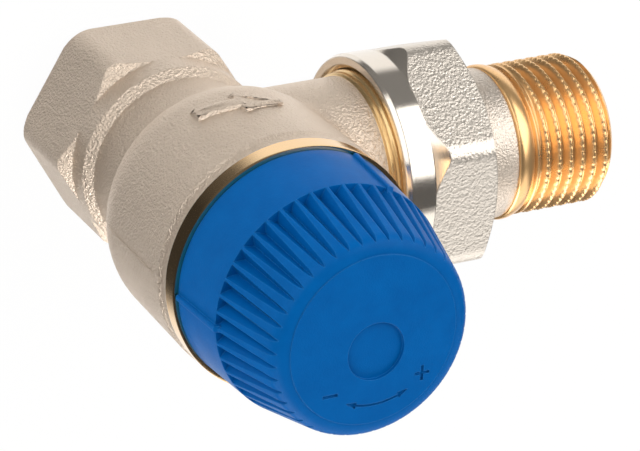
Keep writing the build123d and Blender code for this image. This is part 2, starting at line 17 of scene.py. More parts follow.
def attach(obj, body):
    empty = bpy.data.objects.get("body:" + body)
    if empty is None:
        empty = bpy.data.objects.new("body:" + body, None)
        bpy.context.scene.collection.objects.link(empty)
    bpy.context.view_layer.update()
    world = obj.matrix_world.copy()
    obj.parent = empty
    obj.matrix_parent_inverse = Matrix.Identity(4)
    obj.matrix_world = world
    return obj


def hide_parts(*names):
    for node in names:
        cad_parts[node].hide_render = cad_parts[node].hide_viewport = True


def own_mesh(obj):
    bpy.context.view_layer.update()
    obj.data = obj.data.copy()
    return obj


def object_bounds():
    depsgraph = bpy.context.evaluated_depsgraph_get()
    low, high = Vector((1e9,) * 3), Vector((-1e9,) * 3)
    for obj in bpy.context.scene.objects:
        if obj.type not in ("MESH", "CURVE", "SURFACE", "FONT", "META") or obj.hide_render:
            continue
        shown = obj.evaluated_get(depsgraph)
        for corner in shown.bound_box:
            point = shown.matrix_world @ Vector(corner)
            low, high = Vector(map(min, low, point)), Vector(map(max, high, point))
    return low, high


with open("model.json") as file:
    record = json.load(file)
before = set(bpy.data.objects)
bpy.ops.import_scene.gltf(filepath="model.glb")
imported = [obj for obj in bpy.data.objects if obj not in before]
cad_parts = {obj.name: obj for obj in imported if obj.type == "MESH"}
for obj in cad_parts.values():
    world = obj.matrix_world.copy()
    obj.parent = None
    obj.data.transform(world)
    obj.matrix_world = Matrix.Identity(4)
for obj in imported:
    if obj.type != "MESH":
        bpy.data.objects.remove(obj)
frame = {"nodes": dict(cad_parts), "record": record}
cad_low, cad_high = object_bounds()
MM = 0.001
outlet_z = 27.7
sides = [round((high - low) / MM, 1) for low, high in zip(cad_low, cad_high)]
print("solids:", len(frame["nodes"]), "box in mm:", sides)

# %% [markdown]
# ## Turned pieces
#
# Most of this valve is turned or forged round an axis, so one kind of surface does nearly
# all of it: rings of points along a path. A modelling program could spin a profile, but a
# spun profile can't carry a thread, a notch or a hexagon. A grid of points can: the radius
# is a function of the place along the axis and of the angle round it.

# %% A closed mesh from a grid
def closed_mesh(name, points, ring=True):
    """Rows of a grid go along the piece and columns go once round, where the last meets the first.

    With ring, the last row meets the first too, as on a tube with a bore; otherwise each end row
    is closed by one flat face. The faces are turned outwards: where the volume that they enclose,
    a sixth of the sum of a . (b x c) over their triangles, is negative, their order is reversed.
    """
    points = np.asarray(points, float) * MM
    rows, columns = points.shape[:2]
    index = np.arange(rows * columns).reshape(rows, columns)
    along = np.roll(index, -1, axis=0) if ring else index[1:]
    here = index if ring else index[:-1]
    corners = [here, np.roll(here, -1, axis=1), np.roll(along, -1, axis=1), along]
    quads = np.stack(corners, axis=-1).reshape(-1, 4)
    vertices = points.reshape(-1, 3)
    a, b, c, d = (vertices[quads[:, i]] for i in range(4))
    volume = (np.einsum("ij,ij->i", a, np.cross(b, c)) + np.einsum("ij,ij->i", a, np.cross(c, d))).sum()
    ends = []
    if not ring:
        for row, order in ((0, -1), (rows - 1, 1)):
            loop = index[row][::order]
            start = vertices[loop[0]]
            volume += np.einsum("j,ij->", start, np.cross(vertices[loop[1:-1]], vertices[loop[2:]]))
            ends.append(loop)
    if volume < 0:
        quads = quads[:, ::-1]
        ends = [loop[::-1] for loop in ends]
    mesh = bpy.data.meshes.new(name)
    mesh.from_pydata(vertices.tolist(), [], quads.tolist() + [loop.tolist() for loop in ends])
    mesh.validate()
    piece = bpy.data.objects.new(name, mesh)
    bpy.context.scene.collection.objects.link(piece)
    return piece


def smooth(piece, sharp=40.0):
    """Shades a piece smoothly, but keeps edges sharper than an angle in degrees."""
    piece.data.shade_smooth()
    piece.data.set_sharp_from_angle(angle=np.radians(sharp))
    return piece


# %% Paths and rings
def fine_path(corners, step):
    """Adds points along a path of straight runs, so that no two are further apart than step."""
    corners = np.asarray(corners, float)
    spans = np.diff(corners, axis=0)
    counts = np.maximum(np.ceil(np.linalg.norm(spans, axis=1) / step).astype(int), 1)
    starts = np.repeat(corners[:-1], counts, axis=0)
    steps = np.repeat(spans / counts[:, None], counts, axis=0)
    number = np.arange(counts.sum()) - np.repeat(np.cumsum(counts) - counts, counts)
    return np.concatenate([starts + steps * number[:, None], corners[-1:]])


def eased(corners, setback, steps=5):
    """Rounds each corner of a path by a quadratic curve from setback before it to setback after it."""
    corners = np.asarray(corners, float)
    setback = np.broadcast_to(np.asarray(setback, float), len(corners))[:, None]
    before = np.concatenate([corners[:1], corners[:-1]]) - corners
    after = np.concatenate([corners[1:], corners[-1:]]) - corners
    before /= np.maximum(np.linalg.norm(before, axis=1, keepdims=True), 1e-9)
    after /= np.maximum(np.linalg.norm(after, axis=1, keepdims=True), 1e-9)
    start = (corners + before * setback)[:, None]
    end = (corners + after * setback)[:, None]
    u = np.linspace(0, 1, steps)[None, :, None]
    path = ((1 - u) ** 2 * start + 2 * u * (1 - u) * corners[:, None] + u ** 2 * end).reshape(-1, 2)
    return path[np.append(True, np.linalg.norm(np.diff(path, axis=0), axis=1) > 1e-4)]


def round_outlet(along, radius, angle):
    """Points on rings round the outlet's axis: x is along, and the ring turns from +Y to +Z."""
    along, radius, angle = np.broadcast_arrays(along, radius, angle)
    return np.stack([along, radius * np.cos(angle), outlet_z + radius * np.sin(angle)], axis=-1)


def round_stem(height, radius, angle):
    """Points on rings round the stem's axis: z is the height, and the ring turns from +X to +Y."""
    height, radius, angle = np.broadcast_arrays(height, radius, angle)
    return np.stack([radius * np.cos(angle), radius * np.sin(angle), height], axis=-1)


def turn_angles(count):
    """Angles of count columns, once round."""
    return np.linspace(0, 2 * np.pi, count, endpoint=False)[None, :]


# %% [markdown]
# ## The tailpiece
#
# The tailpiece screws into the radiator. It is one turned brass part: the neck is plated
# with the rest of the valve, and the bead and the thread are left bare and lacquered. So
# it is dressed as two pieces, one for each finish. A screw modifier makes a clean helix but
# no run-out, so here the thread's height is a function of its phase, which grows along the
# axis and falls by one turn round it.

# %% Thread form
def thread_height(phase, crest, root):
    """Height of a pipe thread's outline, from 0 at its root to 1 at its crest.

    A triangle wave of the phase is stretched so that the shares crest and root of each pitch are
    flat, and a smoothstep on its ends eases the corners as a thread die leaves them.
    """
    wave = 1 - np.abs(2 * (phase % 1) - 1)
    rise = np.clip((wave - root) / (1 - root - crest), 0, 1)
    return 0.72 * rise + 0.28 * rise * rise * (3 - 2 * rise)


def ease(value, low, high):
    """Goes smoothly from 0 at low to 1 at high."""
    share = np.clip((value - low) / (high - low), 0, 1)
    return share * share * (3 - 2 * share)


# %% Bead, thread and key of the tail
tail_columns = 448
neck_end = 41.4
neck_r = 10.4
bead_end = 44.1
bead_foot_r = 9.9
bead_height = 0.55
thread_pitch = 1.814
thread_turn = 0.68
thread_top_r = 10.4775
thread_root_r = 9.32
blank_r = thread_top_r - 0.05
thread_crest = 0.13
thread_root = 0.1
thread_start = 44.4
thread_full = 45.6
tail_end = 56.7
end_bevel = 1.3
notches = 56
notch_share = 0.38
notch_depth = 0.08
notch_start = 45.0
notch_full = 45.8
tail_bore_r = 6.6
key_flats = 14.0
key_corner_r = 8.0
key_start = 49.7


def bare_tail():
    """The thread's radius is its root plus its depth times its height.

    The bead before it swells by the square root of a sine, which is steepest at both ends. The
    thread takes over from a plain blank within two thirds of a turn, and a bevel cuts it off at
    the end. Each crest is notched: a cosine of the angle, 56 to the turn, takes 0.08 mm off where
    it is high.
    """
    angle = turn_angles(tail_columns)
    bead_x = np.linspace(neck_end, bead_end, 20)
    share = (bead_x - neck_end) / (bead_end - neck_end)
    swell = np.sqrt(np.clip(np.sin(np.pi * share ** 0.8), 0, 1))
    bead_r = bead_foot_r + (neck_r - bead_foot_r) * (1 - share) + bead_height * swell
    cut_x = fine_path([[bead_end + 0.05, 0], [tail_end, 0]], 0.085)[:, :1]
    phase = (cut_x - bead_end) / thread_pitch - angle / (2 * np.pi) + thread_turn
    height = thread_height(phase, thread_crest, thread_root)
    notch = ease(np.cos(notches * angle), np.cos(np.pi * notch_share), 0.85)
    cut = thread_root_r + (thread_top_r - thread_root_r) * height
    cut = cut - notch_depth * notch * ease(height, 0.7, 1.0) * ease(cut_x, notch_start, notch_full)
    rise = ease(cut_x, bead_end + 0.05, bead_end + 0.35)
    blank = bead_foot_r + (blank_r - bead_foot_r) * rise
    started = ease(cut_x, thread_start, thread_full)
    cut = cut * started + (1 - started) * blank
    cut = np.minimum(cut, thread_top_r - np.maximum(cut_x - (tail_end - end_bevel), 0))
    from_flat = (angle % (np.pi / 3)) - np.pi / 6
    key_r = np.minimum(key_flats / 2 / np.cos(from_flat), key_corner_r)
    mouth_x = np.array([[tail_end - 0.01], [tail_end]])
    mouth_r = np.array([[thread_top_r - 1.45], [thread_top_r - 1.7]])
    key_x = np.array([[tail_end], [tail_end - 0.3], [key_start], [key_start - 0.01]])
    key_rings = np.concatenate([key_r + 0.25, key_r, key_r, np.full_like(key_r, tail_bore_r)])
    rings = [round_outlet(bead_x[:, None], bead_r[:, None], angle),
             round_outlet(cut_x, cut, angle),
             round_outlet(mouth_x, mouth_r, angle),
             round_outlet(key_x, key_rings, angle),
             round_outlet(np.array([[neck_end]]), np.array([[tail_bore_r]]), angle)]
    return closed_mesh("tail_thread", np.concatenate(rings))


tail_thread = smooth(bare_tail(), 50.0)
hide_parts("tailpiece")
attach(tail_thread, "tail")
print("tail_thread:", len(tail_thread.data.polygons), "faces")

# %% Plated neck, collar and nose of the tail
nose_start = 28.1
nose_r = 8.93
groove_start = 28.8
groove_end = 30.3
groove_r = 7.75
collar_start = 31.08
collar_end = 33.52
collar_r = 12.98
neck_corners = [(nose_start, tail_bore_r), (nose_start, nose_r - 0.38), (nose_start + 0.35, nose_r),
                (groove_start, nose_r), (groove_start, groove_r), (groove_end, groove_r),
                (groove_end, nose_r), (collar_start, nose_r), (collar_start, collar_r),
                (collar_end, collar_r), (collar_end, neck_r), (neck_end, neck_r + 0.02),
                (neck_end, tail_bore_r)]
neck_rows = fine_path(eased(neck_corners, 0.08, 4), 1.2)
neck_points = round_outlet(neck_rows[:, :1], neck_rows[:, 1:], turn_angles(160))
tail_neck = smooth(closed_mesh("tail_neck", neck_points))
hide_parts("tailpiece")
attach(tail_neck, "tail")
print("tail_neck:", len(tail_neck.data.polygons), "faces")

# %% [markdown]
# ## The brass band
#
# Between the forging and the cap runs one turned brass band. In the solids two pieces meet
# there: the forging's lip and, 0.05 mm further in, the bonnet's flange with a bevel on top.
# Each small step would draw a line, so a ring 0.02 mm outside the lip gives the plain band.

# %% Band under the cap
band_low = 50.25
band_top = 52.84
band_inner_r = 16.4
band_r = 17.17
shoulder_path = [(band_low, band_inner_r), (band_top, band_inner_r),
                 (band_top, band_r), (band_low, band_r)]
shoulder_rows = fine_path(eased(shoulder_path, 0.03, 3), 0.6)
shoulder_points = round_stem(shoulder_rows[:, :1], shoulder_rows[:, 1:], turn_angles(180))
shoulder = smooth(closed_mesh("bonnet_shoulder", shoulder_points))
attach(shoulder, "body")
print("bonnet_shoulder:", len(shoulder.data.polygons), "faces, radius", band_r, "mm")

# %% [markdown]
# ## The regulator spring
#
# The regulator's spring sits inside the body and is pressed together when the sleeve goes
# down. This piece takes the solid's place: the same wire on the same helix, with an even
# rise. A solid can't shorten, so this one stands in for it: the same wire on the same
# helix.

# %% Regulator spring
spring_low = 32.65
spring_high = 39.35
spring_coil_r = 10.4
spring_wire_r = 0.5
spring_turns = 4


def regulator_coil():
    """Rings of the wire's round section along a helix, tilted by the helix's own slope."""
    turn_rad = np.linspace(0, 2 * np.pi * spring_turns, spring_turns * 40 + 1)[:, None]
    rise = (spring_high - spring_low - 2 * spring_wire_r) / (2 * np.pi * spring_turns)
    slope = np.arctan(rise / spring_coil_r)
    section = turn_angles(12)
    radius = spring_coil_r + spring_wire_r * np.cos(section)
    lean = spring_wire_r * np.sin(section)
    x = radius * np.cos(turn_rad) + lean * np.sin(slope) * np.sin(turn_rad)
    y = radius * np.sin(turn_rad) - lean * np.sin(slope) * np.cos(turn_rad)
    z = spring_low + spring_wire_r + rise * turn_rad + lean * np.cos(slope)
    return closed_mesh("regulator_coil", np.stack([x, y, z], axis=-1), ring=False)


coil = smooth(regulator_coil(), 60.0)
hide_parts("regulator_spring")
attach(coil, "body")
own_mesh(coil)
print("regulator_coil:", len(coil.data.polygons), "faces")

# %% [markdown]
# ## Marks on the forging
#
# The die leaves two things on the bowl: a raised arrow for the flow, and a fine line where
# its halves met. Both follow the bowl's own radius, so each is a small patch of that
# surface, lifted a little and sunk at its rim so that it grows out of the wall.

# %% Radius of the forging
wall_foot = 33.8
wall_foot_r = 17.0
wall_slope = 0.35 / 14.5
arc_centre_r = 8.0
arc_r = 9.0
body_neck_r = 12.6


def bowl_radius(height):
    """Radius of the bowl at a height: a straight wall above, an arc of 9 mm below, then the neck."""
    wall = wall_foot_r + (height - wall_foot) * wall_slope
    under = np.minimum(height, wall_foot) - wall_foot
    arc = arc_centre_r + np.sqrt(np.maximum(arc_r ** 2 - under ** 2, 0))
    return np.maximum(np.where(height > wall_foot, wall, arc), body_neck_r)


# %% Flow arrow
arrow_height = 37.3
arrow_climb = 0.19
arrow_turn = 97.0
arrow_wall_r = 17.1


def arrow_outline():
    """Corners of an arrow 12 mm long in its own plane, pointing along +u, eased at each corner."""
    corners = [(-5.0, -1.2), (0.7, -1.3), (0.7, -2.7), (7.0, 0.0), (0.7, 2.7), (0.7, 1.3), (-5.0, 1.2)]
    loop = eased(corners + corners[:1], 0.22, 4)[:-1]
    return fine_path(np.concatenate([loop, loop[:1]]), 0.5)[:-1]


def flow_arrow():
    """Rings of the arrow's outline, each a little smaller and higher, laid round the bowl.

    Going from ring to ring, the outline shrinks towards its middle line. Its height over the wall
    rises steeply at first and then levels off, so that the arrow has the soft flanks of a forged
    mark. The first ring lies inside the wall.
    """
    outline = arrow_outline()
    ahead = np.roll(outline, -1, axis=0) - np.roll(outline, 1, axis=0)
    inward = np.stack([-ahead[:, 1], ahead[:, 0]], axis=1)
    inward /= np.linalg.norm(inward, axis=1, keepdims=True)
    inset = np.array([-1.0, -0.1, 0.1, 0.28, 0.45, 0.75])
    lift = np.array([-1.0, 0.0, 0.22, 0.37, 0.43, 0.45])
    rings = outline[None] + inward[None] * inset[:, None, None]
    height = arrow_height + arrow_climb * rings[..., 0] + rings[..., 1]
    radius = bowl_radius(height) + lift[:, None]
    angle = np.radians(arrow_turn) - rings[..., 0] / arrow_wall_r
    return closed_mesh("flow_arrow", round_stem(height, radius, angle), ring=False)


flow_mark = smooth(flow_arrow(), 35.0)
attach(flow_mark, "body")
print("flow_arrow:", len(flow_mark.data.polygons), "faces")

# %% Line of the die
seam_low = 26.3
seam_top = 47.6


def die_line():
    """A low ridge a quarter of a millimetre wide on the meridian that faces away from the outlet."""
    height = np.linspace(seam_low, seam_top, 90)[:, None]
    across = np.array([[-0.2, -0.09, 0.0, 0.09, 0.2, 0.0]])
    lift = np.array([[-0.1, 0.03, 0.07, 0.03, -0.1, -0.7]])
    fade = ease(height, seam_low, seam_low + 1.2) * (1 - ease(height, seam_top - 1.2, seam_top))
    radius = bowl_radius(height) + lift * (0.3 + 0.7 * fade) - 0.08 * (1 - fade)
    wander = 0.05 * np.sin(height * 0.9)
    angle = np.pi + (across + wander) / radius
    return closed_mesh("die_line", round_stem(height, radius, angle), ring=False)


seam = smooth(die_line(), 80.0)
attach(seam, "body")
print("die_line:", len(seam.data.polygons), "faces")

# %% [markdown]
# ## The root of the branch
#
# Where the branch leaves the bowl, the forging has a full, soft hollow, wider than the
# solid's own edge rounding. A ball that rolls along the corner and touches both walls
# leaves just that hollow. The ball's centres are found all at once, by halving the gap
# between a centre that is inside the bowl's reach and one that is outside it.

# %% Hollow left by a rolling ball
branch_r = 12.5
ball_r = 3.2
ball_reach = 30.0
halvings = 40
neck_blend = 2.0
skin_sink = 0.015
patch_depth = 1.2


def bowl_distance(across, height):
    """Distance from the bowl's outline, in the half plane of radius and height.

    The outline is an upright wall, an arc of 9 mm and the neck below. The distance to the wall or
    arc and to the neck are joined by a soft minimum, so that their inner corner is rounded.
    """
    wall = across - bowl_radius(np.maximum(height, wall_foot))
    arc = np.hypot(across - arc_centre_r, height - wall_foot) - arc_r
    upper = np.where(height > wall_foot, wall, arc)
    neck = across - body_neck_r
    share = np.clip(0.5 + 0.5 * (neck - upper) / neck_blend, 0, 1)
    return neck * (1 - share) + upper * share - neck_blend * share * (1 - share)


def bowl_normal(point, small=0.01):
    """Direction away from the bowl at each point, from small differences of its distance."""
    across = np.hypot(point[..., 0], point[..., 1])
    height = point[..., 2]
    slope_r = bowl_distance(across + small, height) - bowl_distance(across - small, height)
    slope_z = bowl_distance(across, height + small) - bowl_distance(across, height - small)
    sideways = slope_r / across
    normal = np.stack([sideways * point[..., 0], sideways * point[..., 1], slope_z], axis=-1)
    return normal / np.linalg.norm(normal, axis=-1, keepdims=True)


def branch_root():
    """The fillet is an arc of the ball, from where it touches the branch to where it touches the bowl.

    The directions from the ball's centre to the two walls are mixed by equal turns, and a second
    skin of points lies deeper, inside the metal, so that the patch is closed.
    """
    angle = turn_angles(240)[0]
    outward = np.stack([np.zeros_like(angle), np.cos(angle), np.sin(angle)], axis=1)
    low = np.zeros_like(angle)
    high = np.full_like(angle, ball_reach)
    around = np.array([0, 0, outlet_z]) + outward * (branch_r + ball_r)
    along = np.array([1.0, 0.0, 0.0])
    for _ in range(halvings):
        middle = (low + high) / 2
        centre = around + along * middle[:, None]
        gap = bowl_distance(np.hypot(centre[:, 0], centre[:, 1]), centre[:, 2]) - ball_r
        inside = gap < 0
        low = np.where(inside, middle, low)
        high = np.where(inside, high, middle)
    centre = around + along * low[:, None]
    to_branch = -outward
    to_bowl = -bowl_normal(centre)
    between = np.arccos(np.clip((to_branch * to_bowl).sum(axis=1), -1, 1))[:, None]
    share = np.linspace(0, 1, 14)[:, None, None]
    mixed = np.sin((1 - share) * between) * to_branch + np.sin(share * between) * to_bowl
    direction = mixed / np.sin(between)
    skin = centre + direction * (ball_r - skin_sink)
    first = skin[:1] + along * 0.4 - outward * 0.25
    deep = centre + direction[[-1, 7, 0]] * (ball_r + patch_depth)
    return closed_mesh("branch_root", np.concatenate([first, skin, deep]))


root = smooth(branch_root(), 60.0)
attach(root, "body")
print("branch_root:", len(root.data.polygons), "faces")

# %% [markdown]
# ## Colours and nodes
#
# Colours are easiest to write as the hex values that a screen shows. Blender's sockets
# want linear light, so one function turns the one into the other. A second one adds a node
# with its settings and its links, which keeps each finish below a few lines long.

# %% Colours from hex
def linear(hex_colour):
    """sRGB hex to linear RGBA: the standard sRGB curve on each channel, with alpha 1."""
    levels = np.array([int(hex_colour[i:i + 2], 16) for i in (1, 3, 5)]) / 255
    curve = np.where(levels <= 0.04045, levels / 12.92, ((levels + 0.055) / 1.055) ** 2.4)
    return (*curve.tolist(), 1.0)


# %% Nodes for a material
def new_material(name, colour, metallic, roughness):
    """A material with its Principled shader's plain values, and its node tree."""
    material = bpy.data.materials.new(name)
    material.use_nodes = True
    tree = material.node_tree
    shader = tree.nodes["Principled BSDF"]
    shader.inputs["Base Color"].default_value = linear(colour)
    shader.inputs["Metallic"].default_value = metallic
    shader.inputs["Roughness"].default_value = roughness
    return material, tree, shader


def put(tree, kind, links=None, sockets=None, **settings):
    """Adds one node: settings are its own properties, sockets are input values, links are sources.

    A socket's value may be a hex colour.
    """
    node = tree.nodes.new(kind)
    for key, value in settings.items():
        setattr(node, key, value)
    for socket, value in (sockets or {}).items():
        node.inputs[socket].default_value = linear(value) if isinstance(value, str) else value
    for socket, source in (links or {}).items():
        tree.links.new(source, node.inputs[socket])
    return node


def per_metre(size_mm):
    """A texture's scale for features of a size in millimetres."""
    return 1000.0 / size_mm


def shot_dents(tree, place, dent_mm, pit_mm):
    """Height of a shot-blasted skin: noise for the dents plus smooth cells for the deeper pits."""
    dents = put(tree, "ShaderNodeTexNoise", {"Vector": place},
                {"Scale": per_metre(dent_mm), "Detail": 2.5, "Roughness": 0.55})
    pits = put(tree, "ShaderNodeTexVoronoi", {"Vector": place}, {"Scale": per_metre(pit_mm)},
               feature="SMOOTH_F1")
    links = {0: dents.outputs["Fac"], 1: pits.outputs["Distance"]}
    return put(tree, "ShaderNodeMath", links, operation="ADD").outputs[0]


# %% [markdown]
# ## Nickel on a shot-blasted forging
#
# The body is forged brass, shot blasted and then plated with nickel. The eye sees a warm
# grey with a grain of small dents, which glitters where the light grazes it. The dents are
# bump, drawn a fifth of a millimetre across, coarse enough to show in the picture. The
# spigot, the lip and the bores are cut after plating, so they show bare brass: masks on the
# place tell them apart, and one material serves the whole solid.
#
# A matt metal in a dim room looks black where no lamp is mirrored. The real skin also
# scatters light in its dents, so its metal share is a little under one: 0.85 here, 0.92 on
# the nut and 0.84 on the tail's brass. What is left acts like pale paint and lifts the shade.

# %% Blasted nickel
mask_edge = 0.05
bore_reach = 9.8
blasted_roughness = 0.42


def blasted_nickel(name, colour, grain_mm, depth_mm, brass_from_mm):
    """Nickel over blasted brass: dents from noise and a slow drift in tone.

    Bare brass shows past a place along the outlet, above the foot of the band, and in the bore.
    """
    material, tree, shader = new_material(name, colour, 0.85, blasted_roughness)
    place = put(tree, "ShaderNodeTexCoord").outputs["Object"]
    height = shot_dents(tree, place, grain_mm, grain_mm * 1.6)
    drift = put(tree, "ShaderNodeTexNoise", {"Vector": place}, {"Scale": per_metre(6.0), "Detail": 2.0})
    tone = put(tree, "ShaderNodeMix", {"Factor": drift.outputs["Fac"]}, {"A": "#E4D1BD", "B": colour},
               data_type="RGBA")
    axes = put(tree, "ShaderNodeSeparateXYZ", {"Vector": place})
    spigot = put(tree, "ShaderNodeMapRange", {"Value": axes.outputs["X"]},
                 {"From Min": (brass_from_mm - mask_edge) * MM,
                  "From Max": (brass_from_mm + mask_edge) * MM})
    ring = put(tree, "ShaderNodeVectorMath", {0: place}, {1: (1.0, 1.0, 0.0)}, operation="MULTIPLY")
    across = put(tree, "ShaderNodeVectorMath", {0: ring.outputs[0]}, operation="LENGTH")
    bore = put(tree, "ShaderNodeMapRange", {"Value": across.outputs["Value"]},
               {"From Min": bore_reach * MM, "From Max": (bore_reach - 0.2) * MM})
    lip = put(tree, "ShaderNodeMapRange", {"Value": axes.outputs["Z"]},
              {"From Min": band_low * MM, "From Max": (band_low + mask_edge) * MM})
    inside = put(tree, "ShaderNodeMath", {0: lip.outputs[0], 1: bore.outputs[0]}, operation="MAXIMUM")
    bare = put(tree, "ShaderNodeMath", {0: spigot.outputs[0], 1: inside.outputs[0]},
               operation="MAXIMUM")
    paint = put(tree, "ShaderNodeMix", {"Factor": bare.outputs[0], "A": tone.outputs["Result"]},
                {"B": "#E3C08A"}, data_type="RGBA")
    tree.links.new(paint.outputs["Result"], shader.inputs["Base Color"])
    rough = put(tree, "ShaderNodeMapRange", {"Value": bare.outputs[0]},
                {"To Min": blasted_roughness, "To Max": 0.2})
    tree.links.new(rough.outputs[0], shader.inputs["Roughness"])
    depth = put(tree, "ShaderNodeMapRange", {"Value": bare.outputs[0]}, {"To Min": 1.0, "To Max": 0.03})
    strength = put(tree, "ShaderNodeMath", {0: depth.outputs[0]}, {1: 0.9}, operation="MULTIPLY")
    edge = put(tree, "ShaderNodeBevel", None, {"Radius": 0.25 * MM}, samples=4)
    bump = put(tree, "ShaderNodeBump",
               {"Height": height, "Strength": strength.outputs[0], "Normal": edge.outputs["Normal"]},
               {"Distance": depth_mm * MM})
    tree.links.new(bump.outputs["Normal"], shader.inputs["Normal"])
    return material


blasted = blasted_nickel("shot_blasted_nickel", "#F0DDC9", grain_mm=0.21, depth_mm=0.19,
                         brass_from_mm=20.47)
print("made", blasted.name)

# %% [markdown]
# ## Nickel on the union nut
#
# The nut's flats keep a coarser blasted skin, while its front ring and the cone that cuts
# its corners were turned before plating and mirror the room. The turned part is told apart
# by its place and by the way it faces: only the ring and the cone face the valve.

# %% Turned and blasted nut
ring_end = 26.0
cone_facing = -0.35
nut_roughness = 0.36


def nut_nickel():
    """Coarse dents on the flats, fine turning marks on the ring and on the cone at the corners."""
    material, tree, shader = new_material("plated_nut", "#E9DFD2", 0.92, nut_roughness)
    coordinates = put(tree, "ShaderNodeTexCoord")
    place = coordinates.outputs["Object"]
    x = put(tree, "ShaderNodeSeparateXYZ", {"Vector": place}).outputs["X"]
    facing = put(tree, "ShaderNodeSeparateXYZ", {"Vector": coordinates.outputs["Normal"]}).outputs["X"]
    front = put(tree, "ShaderNodeMath", {0: x}, {1: ring_end * MM}, operation="LESS_THAN")
    cone = put(tree, "ShaderNodeMath", {0: facing}, {1: cone_facing}, operation="LESS_THAN")
    turned = put(tree, "ShaderNodeMath", {0: front.outputs[0], 1: cone.outputs[0]}, operation="MAXIMUM")
    height = shot_dents(tree, place, dent_mm=0.27, pit_mm=0.42)
    spread = put(tree, "ShaderNodeMath", {0: x}, {1: per_metre(0.12)}, operation="MULTIPLY")
    lines = put(tree, "ShaderNodeTexNoise", {"W": spread.outputs[0]}, {"Scale": 1.0},
                noise_dimensions="1D")
    pattern = put(tree, "ShaderNodeMix",
                  {"Factor": turned.outputs[0], "A": height, "B": lines.outputs["Fac"]},
                  data_type="FLOAT")
    strength = put(tree, "ShaderNodeMapRange", {"Value": turned.outputs[0]},
                   {"To Min": 1.0, "To Max": 0.05})
    edge = put(tree, "ShaderNodeBevel", None, {"Radius": 0.3 * MM}, samples=4)
    bump = put(tree, "ShaderNodeBump",
               {"Height": pattern.outputs["Result"], "Strength": strength.outputs[0],
                "Normal": edge.outputs["Normal"]},
               {"Distance": 0.065 * MM})
    tree.links.new(bump.outputs["Normal"], shader.inputs["Normal"])
    rough = put(tree, "ShaderNodeMapRange", {"Value": turned.outputs[0]},
                {"To Min": nut_roughness, "To Max": 0.13})
    tree.links.new(rough.outputs[0], shader.inputs["Roughness"])
    return material


plated_nut = nut_nickel()
print("made", plated_nut.name)

# %% [markdown]
# ## Brass and steel
#
# Bare brass is a warm yellow metal. The tail's thread is cut bright and lacquered, so it
# mirrors the room in long bands along its flanks. The bonnet's flange is turned: the tool
# leaves fine rings round it that draw each reflection out sideways. The stem and the pins
# are turned stainless steel, a cool grey with the same fine rings, and the springs are
# drawn wire, which is darker and duller.

# %% Turned metals
def lathe_metal(name, colour, roughness, line_mm, line_depth_mm, axis, metallic=1.0):
    """Metal with the rings that a lathe tool leaves: one-dimensional noise along the turning axis."""
    material, tree, shader = new_material(name, colour, metallic, roughness)
    place = put(tree, "ShaderNodeTexCoord").outputs["Object"]
    along = put(tree, "ShaderNodeSeparateXYZ", {"Vector": place}).outputs[axis]
    spread = put(tree, "ShaderNodeMath", {0: along}, {1: per_metre(line_mm)}, operation="MULTIPLY")
    lines = put(tree, "ShaderNodeTexNoise", {"W": spread.outputs[0]}, {"Scale": 1.0, "Detail": 3.0},
                noise_dimensions="1D")
    bump = put(tree, "ShaderNodeBump", {"Height": lines.outputs["Fac"]},
               {"Strength": 0.5, "Distance": line_depth_mm * MM})
    tree.links.new(bump.outputs["Normal"], shader.inputs["Normal"])
    smear = put(tree, "ShaderNodeTexNoise", {"Vector": place}, {"Scale": per_metre(3.0), "Detail": 3.0})
    rough = put(tree, "ShaderNodeMapRange", {"Value": smear.outputs["Fac"]},
                {"To Min": roughness * 0.8, "To Max": roughness * 1.25})
    tree.links.new(rough.outputs[0], shader.inputs["Roughness"])
    return material


bright_brass = lathe_metal("lacquered_brass", "#F6C68A", roughness=0.28, line_mm=0.05,
                           line_depth_mm=0.002, axis="X", metallic=0.84)
turned_brass = lathe_metal("turned_brass", "#F5D0A0", roughness=0.12, line_mm=0.09,
                           line_depth_mm=0.005, axis="Z")
neck_nickel = blasted_nickel("plated_neck", "#DCD4CA", grain_mm=0.2, depth_mm=0.09,
                             brass_from_mm=60.0)
stainless = lathe_metal("turned_stainless", "#BFC0C2", roughness=0.22, line_mm=0.08,
                        line_depth_mm=0.006, axis="Z")
spring_steel = lathe_metal("drawn_spring_steel", "#A9ACB0", roughness=0.3, line_mm=0.4,
                           line_depth_mm=0.004, axis="Z")
for metal in (bright_brass, turned_brass, neck_nickel, stainless, spring_steel):
    print("made", metal.name)
